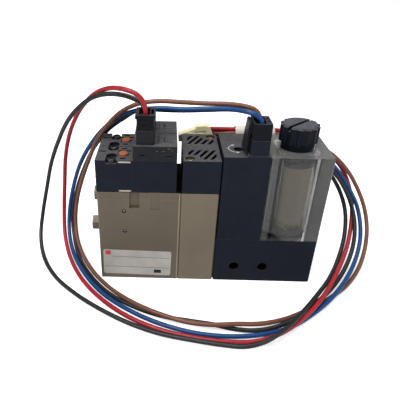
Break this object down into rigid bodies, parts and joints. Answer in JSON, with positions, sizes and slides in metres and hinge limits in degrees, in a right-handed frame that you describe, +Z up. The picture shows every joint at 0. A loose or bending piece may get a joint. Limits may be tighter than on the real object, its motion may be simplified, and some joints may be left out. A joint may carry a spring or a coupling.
{
  "type": "vacuum ejector unit",
  "caption": "Vacuum generator unit: metal valve and ejector body with pilot valves, louvred silencer, pressure switch, clear suction filter with a knob, and free coloured leads.",
  "frame": {"origin": "middle of the flat foot under the body, on the surface that the unit stands on, measured without the leads and their plugs and connectors", "axes": "+X along the row of blocks, from the plugged ports to the suction port; +Y from the mounting-hole front to the back; +Z up"},
  "size_m": [0.1301, 0.0662, 0.0694],
  "materials": {
    "metal": "satin",
    "brass": "satin",
    "steel": "satin",
    "rubber": "matte",
    "plate": "satin",
    "pilot_plastic": "matte",
    "cover_plastic": "matte",
    "copper": "satin",
    "orange": "satin",
    "pins": "polished",
    "pad": "matte",
    "zinc": "satin",
    "board": "satin",
    "trimmer_plastic": "satin",
    "clear_case": "clear",
    "element": "porous",
    "holder": "satin",
    "knob": "satin",
    "plug": "satin",
    "cream": "satin",
    "sleeve": "matte",
    "red_wire": "satin",
    "black_wire": "satin",
    "brown_wire": "satin",
    "blue_wire": "satin"
  },
  "bodies": {
    "housing": {"valve_body": "metal", "ejector_body": "metal", "feed_seal": "rubber", "nozzle": "brass", "diffuser": "brass", "port_plugs": "steel", "pressed_balls": "steel", "nameplate": "plate", "assembly_bolts": "steel", "supply_spring": "steel", "release_spring": "steel", "valve_gasket": "rubber", "front_pilot_body": "pilot_plastic", "rear_pilot_body": "pilot_plastic", "front_coil_cover": "cover_plastic", "rear_coil_cover": "cover_plastic", "front_coil": "copper", "rear_coil": "copper", "pilot_cores": "steel", "front_armature_spring": "steel", "rear_armature_spring": "steel", "front_override_spring": "steel", "rear_override_spring": "steel", "pilot_clips": "steel", "pilot_pins": "pins", "valve_screws": "steel", "silencer_cover": "cover_plastic", "silencer_pad": "pad", "cover_screws": "zinc", "base_gasket": "rubber", "base_block": "pilot_plastic", "sensor_case": "cover_plastic", "connector_case": "cover_plastic", "switch_board": "board", "pressure_sensor": "steel", "switch_header": "pins", "filter_case": "clear_case", "case_seal": "rubber", "filter_element": "element", "element_holders": "holder", "knob_insert": "brass", "valve_plug": "plug", "switch_plug": "plug", "end_connector": "cream", "lead_sleeve": "sleeve", "red_lead": "red_wire", "black_lead": "black_wire", "brown_lead": "brown_wire", "blue_lead": "blue_wire", "signal_lead": "black_wire"},
    "front_button": {"front_override": "orange"},
    "rear_button": {"rear_override": "orange"},
    "front_plunger": {"front_armature": "steel"},
    "rear_plunger": {"rear_armature": "steel"},
    "supply_valve": {"supply_spool": "steel"},
    "release_valve": {"release_spool": "steel"},
    "trimmer_screw": {"trimmer": "trimmer_plastic"},
    "knob": {"filter_knob": "knob"}
  },
  "joints": [
    {"name": "front_button_press", "type": "slide", "parent": "housing", "child": "front_button", "axis": [0, 0, -1], "range_m": [0, 0.0005], "stiffness_N_per_m": 400, "springref_m": -0.0005, "deforming": ["front_override_spring"]},
    {"name": "rear_button_press", "type": "slide", "parent": "housing", "child": "rear_button", "axis": [0, 0, -1], "range_m": [0, 0.0005], "stiffness_N_per_m": 400, "springref_m": -0.0005, "deforming": ["rear_override_spring"]},
    {"name": "front_plunger_pull", "type": "slide", "parent": "housing", "child": "front_plunger", "axis": [1, 0, 0], "range_m": [0, 0.0005], "stiffness_N_per_m": 500, "springref_m": -0.0005, "deforming": ["front_armature_spring"]},
    {"name": "rear_plunger_pull", "type": "slide", "parent": "housing", "child": "rear_plunger", "axis": [1, 0, 0], "range_m": [0, 0.0005], "stiffness_N_per_m": 500, "springref_m": -0.0005, "deforming": ["rear_armature_spring"]},
    {"name": "supply_valve_open", "type": "slide", "parent": "housing", "child": "supply_valve", "axis": [0, 0, -1], "range_m": [0, 0.0015], "stiffness_N_per_m": 500, "springref_m": -0.001, "deforming": ["supply_spring"]},
    {"name": "release_valve_open", "type": "slide", "parent": "housing", "child": "release_valve", "axis": [0, 0, -1], "range_m": [0, 0.0015], "stiffness_N_per_m": 500, "springref_m": -0.001, "deforming": ["release_spring"]},
    {"name": "trimmer_turn", "type": "hinge", "parent": "housing", "child": "trimmer_screw", "pos_m": [0.01035, -0.0048, 0.048], "axis": [0, 0, 1], "range_deg": [-110, 110]},
    {"name": "knob_turn", "type": "hinge", "parent": "housing", "child": "knob", "pos_m": [0.02995, -0.0015, 0.054], "axis": [0, 0, 1], "range_deg": [0, 1080]}
  ]
}
